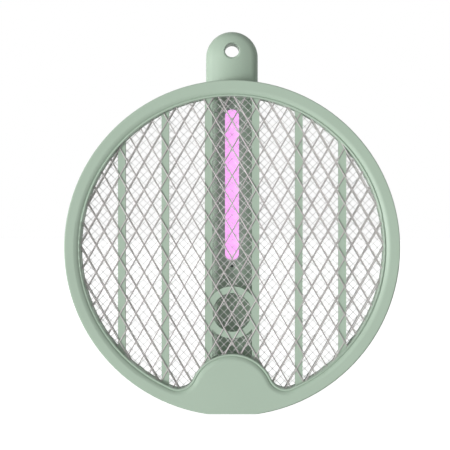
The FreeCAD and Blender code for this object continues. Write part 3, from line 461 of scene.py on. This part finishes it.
def circuit_board():
    """Green solder mask with lighter copper runs under it and a woven glass texture."""
    tree = Tree("circuit_board_mask")
    runs = tree.nodes.new("ShaderNodeTexBrick")
    runs.inputs["Scale"].default_value = 260
    runs.inputs["Mortar Size"].default_value = 0.06
    runs.inputs["Color1"].default_value = (0.025, 0.14, 0.06, 1)
    runs.inputs["Color2"].default_value = (0.03, 0.17, 0.075, 1)
    runs.inputs["Mortar"].default_value = (0.01, 0.075, 0.03, 1)
    swapped = tree.nodes.new("ShaderNodeMapping")
    swapped.inputs["Rotation"].default_value = (math.pi / 2, 0, 0)
    tree.join(tree.place, swapped.inputs["Vector"])
    tree.join(swapped.outputs["Vector"], runs.inputs["Vector"])
    tree.colour(runs.outputs["Color"])
    tree.roughness(tree.spread(tree.noise(900, 2), 0.22, 0.36))
    tree.bump(runs.outputs["Fac"], 0.03 * MM, 0.4)
    return tree.material


def dark_case():
    """Matt black moulded case of a component."""
    tree = Tree("black_component_case")
    tree.colour(tree.ramp(tree.noise(700, 3), (0.3, shade(BLACK, 0.75)), (0.7, shade(BLACK, 1.4))))
    tree.roughness(tree.spread(tree.noise(260, 3), 0.45, 0.65))
    tree.bump(tree.noise(3500, 2), 0.015 * MM, 0.5)
    return tree.material


def banded(name, base, bands, along):
    """A lacquered body with soft bands along one of its axes."""
    tree = Tree(name)
    wave = tree.nodes.new("ShaderNodeTexWave")
    wave.bands_direction = along
    wave.inputs["Scale"].default_value = 150
    wave.inputs["Distortion"].default_value = 0.2
    tree.join(tree.place, wave.inputs["Vector"])
    tree.colour(tree.mixed(tree.spread(wave.outputs["Fac"], 0, 1, 0.8, 0.9), base, bands))
    tree.roughness(tree.spread(tree.noise(300, 3), 0.25, 0.42))
    tree.bump(tree.noise(1200, 2), 0.02 * MM, 0.3)
    return tree.material


def ferrite():
    """Winding of lacquered copper round a dark ferrite core."""
    tree = Tree("ferrite_and_winding")
    wave = tree.nodes.new("ShaderNodeTexWave")
    wave.bands_direction = "Z"
    wave.inputs["Scale"].default_value = 900
    tree.join(tree.place, wave.inputs["Vector"])
    copper = tree.ramp(wave.outputs["Fac"], (0.2, (0.16, 0.05, 0.02)), (0.8, (0.45, 0.17, 0.06)))
    tree.colour(tree.mixed(tree.spread(tree.noise(160, 2), 0, 1, 0.45, 0.55), copper, (0.03, 0.028, 0.028)))
    tree.roughness(tree.spread(tree.noise(300, 3), 0.3, 0.5))
    tree.bump(wave.outputs["Fac"], 0.03 * MM, 0.4)
    return tree.material


def shrink_sleeve():
    """Blue shrink sleeve of the rechargeable cell, slightly rippled."""
    tree = Tree("cell_shrink_sleeve")
    ripple = tree.noise(160, 4, 0.5, tree.stretched(1, 1, 0.2))
    tree.colour(tree.ramp(ripple, (0.3, (0.035, 0.085, 0.19)), (0.7, (0.055, 0.12, 0.25))))
    tree.roughness(tree.spread(ripple, 0.2, 0.34))
    tree.bump(ripple, 0.05 * MM, 0.4)
    return tree.material


def clear_tinted(name, colour, gloss):
    """Small clear or tinted window."""
    tree = Tree(name)
    tree.set(IOR=1.49, Coat_Weight=0.3)
    tree.colour(tree.ramp(tree.noise(600, 3), (0.3, shade(colour, 0.85)), (0.7, shade(colour, 1.1))))
    tree.roughness(tree.spread(tree.noise(900, 3), gloss, gloss + 0.12))
    tree.bump(tree.noise(1500, 2), 0.005 * MM, 0.3)
    return tree.material


def potted_diode():
    """Milky resin of a lamp diode in its white cup."""
    tree = Tree("potted_lamp_diode")
    tree.set(Emission_Color=(0.75, 0.35, 1.0, 1), Emission_Strength=0.4)
    tree.colour(tree.ramp(tree.noise(900, 3), (0.3, (0.75, 0.72, 0.8)), (0.7, (0.88, 0.85, 0.92))))
    tree.roughness(tree.spread(tree.noise(700, 2), 0.25, 0.4))
    tree.bump(tree.noise(2200, 2), 0.01 * MM, 0.3)
    return tree.material


def dress(material, *names):
    """Gives CAD nodes their finished material."""
    for name in names:
        slots = nodes[name].material_slots
        if not slots:
            nodes[name].data.materials.append(material)
        for slot in slots:
            slot.material = material


def dress_plastic():
    dress(head_plastic(), "head_front_shell", "head_rear_shell")
    dress(grid_plastic(), "front_spacer_grid", "rear_spacer_grid")
    dress(handle_plastic(True), "handle_front_shell")
    dress(handle_plastic(False), "handle_rear_shell")
    dress(neck_plastic(), "hinge_neck")
    dress(button_plastic(), "zap_button", "mode_slider")
    dress(diffuser(), "lamp_diffuser")
    dress(clear_tinted("dark_sensor_window", (0.045, 0.07, 0.05), 0.35), "sensor_window")
    dress(clear_tinted("clear_light_pipe", (0.62, 0.66, 0.63), 0.2), "status_light_pipe")


def dress_metal():
    zinc = turned_steel("zinc_plated_screws", (0.5, 0.5, 0.51), 0.32)
    dress(zinc, "head_screws", "handle_screws", "board_screws")
    dress(turned_steel("hinge_steel"), "hinge_pin", "friction_washers", "button_spring")
    dress(turned_steel("brass_terminals", (0.66, 0.47, 0.2), 0.28), "mesh_terminals")
    dress(turned_steel("nickel_tabs", (0.6, 0.59, 0.55), 0.3), "battery_tabs")
    dress(turned_steel("socket_steel", (0.55, 0.55, 0.57), 0.25), "charging_socket")


def dress_electronics():
    red = insulated("red_insulation", (0.42, 0.02, 0.02))
    dress(red, "head_leads", "battery_leads", "high_voltage_leads")
    dress(insulated("black_insulation", (0.025, 0.025, 0.028)), "lamp_leads")
    dress(circuit_board(), "main_board", "lamp_board")
    dress(potted_diode(), "lamp_diodes", "status_diode")
    dress(dark_case(), "light_sensor", "tact_switch", "slide_switch", "rectifier_diodes")
    dress(ferrite(), "step_up_transformer")
    film = banded("film_capacitor_box", (0.33, 0.09, 0.02), (0.25, 0.06, 0.015), "X")
    dress(film, "high_voltage_capacitor")
    lacquer = banded("resistor_lacquer", (0.48, 0.38, 0.2), (0.12, 0.05, 0.02), "Z")
    dress(lacquer, "bleed_resistors")
    dress(shrink_sleeve(), "battery_cell")


def meshes():
    outer = drawn_wire("tinned_outer_wire", (0.55, 0.52, 0.515), 0.5)
    inner = drawn_wire("tinned_live_wire", (0.80, 0.79, 0.785), 0.5)
    front = wire_mesh("front_outer_mesh", OUTER_PITCH, OUTER_NODE_Z, OUTER_WIRE, -TAB_SPACING)
    rear = wire_mesh("rear_outer_mesh", OUTER_PITCH, OUTER_NODE_Z, OUTER_WIRE, TAB_SPACING)
    live = wire_mesh("live_inner_mesh", LIVE_PITCH, LIVE_NODE_Z, LIVE_WIRE, 0.0)
    for piece, wire in ((front, outer), (rear, outer), (live, inner)):
        piece.data.materials.append(wire)


# ---- floor, light and camera ------------------------------------------------------------------------

FLOOR_GAP = 20 * MM  # below the lowest point that the head reaches when it is folded out
FLOOR_HALF = 30.0
FLOOR_GLOW = 0.68
BRIGHT_SIDE = Vector((-0.60, -0.75, -0.42))  # where most of the surroundings' light comes from
AMBIENT_BRIGHT = 0.78
AMBIENT_DIM = 0.09
BACKGROUND = 1.0


def floor():
    reach = HEAD_HIGH.z - AXIS_Z
    z = AXIS_Z - reach - FLOOR_GAP
    corners = [(-1, -1), (1, -1), (1, 1), (-1, 1)]
    mesh = bpy.data.meshes.new("studio_floor")
    mesh.from_pydata([(x * FLOOR_HALF, y * FLOOR_HALF, z) for x, y in corners], [], [(0, 1, 2, 3)])
    plane = bpy.data.objects.new("studio_floor", mesh)
    bpy.context.scene.collection.objects.link(plane)
    tree = Tree("pale_floor")
    tree.colour(tree.ramp(tree.noise(3, 3), (0.3, (0.86, 0.86, 0.86)), (0.7, (0.88, 0.88, 0.88))))
    tree.set(Roughness=0.8, Emission_Color=(1, 1, 1, 1), Emission_Strength=FLOOR_GLOW)
    mesh.materials.append(tree.material)
    plane.visible_diffuse = False
    plane.visible_glossy = False
    plane.visible_shadow = False


def sun(name, toward, strength, spread):
    """A soft light of even strength. toward is the direction from the object to the light."""
    data = bpy.data.lights.new(name, "SUN")
    data.energy = strength
    data.angle = math.radians(spread)
    lamp = bpy.data.objects.new(name, data)
    lamp.rotation_mode = "QUATERNION"
    lamp.rotation_quaternion = Vector(toward).to_track_quat("Z", "Y")
    bpy.context.scene.collection.objects.link(lamp)


def surroundings():
    """White surroundings. They shed less on the object away from BRIGHT_SIDE, so that shapes show."""
    world = bpy.data.worlds.new("white_surroundings")
    bpy.context.scene.world = world
    world.use_nodes = True
    tree = world.node_tree
    background = tree.nodes["Background"]
    ray = tree.nodes.new("ShaderNodeTexCoord")
    facing = tree.nodes.new("ShaderNodeVectorMath")
    facing.operation = "DOT_PRODUCT"
    facing.inputs[1].default_value = BRIGHT_SIDE.normalized()
    tree.links.new(ray.outputs["Generated"], facing.inputs[0])
    shed = tree.nodes.new("ShaderNodeMapRange")
    shed.inputs["From Min"].default_value = -1
    shed.inputs["From Max"].default_value = 1
    shed.inputs["To Min"].default_value = AMBIENT_DIM
    shed.inputs["To Max"].default_value = AMBIENT_BRIGHT
    tree.links.new(facing.outputs["Value"], shed.inputs["Value"])
    path = tree.nodes.new("ShaderNodeLightPath")
    level = tree.nodes.new("ShaderNodeMapRange")
    level.inputs["To Max"].default_value = BACKGROUND
    tree.links.new(path.outputs["Is Camera Ray"], level.inputs["Value"])
    tree.links.new(shed.outputs["Result"], level.inputs["To Min"])
    background.inputs["Color"].default_value = (1, 1, 1, 1)
    tree.links.new(level.outputs["Result"], background.inputs["Strength"])


def lights():
    surroundings()
    sun("key_light", (-1.12, -1.0, -0.25), 2.0, 12)
    sun("side_light", (-1.0, -0.15, -0.05), 0.7, 40)
    sun("back_light", (0.1, 1.0, 0.08), 1.7, 105)


CAMERA_PLACE = Vector((-4.67 * MM, -918.0 * MM, -116.9 * MM))
CAMERA_LENS = 108.9


def camera():
    data = bpy.data.cameras.new("camera")
    data.lens = CAMERA_LENS
    data.sensor_width = 36.0
    data.clip_start = 0.05
    data.clip_end = 60.0
    eye = bpy.data.objects.new("camera", data)
    eye.location = CAMERA_PLACE
    eye.rotation_euler = (math.pi / 2, 0, 0)
    bpy.context.scene.collection.objects.link(eye)
    bpy.context.scene.camera = eye


camera()
dress_plastic()
dress_metal()
dress_electronics()
meshes()
floor()
lights()
bpy.context.scene.view_settings.view_transform = "Standard"
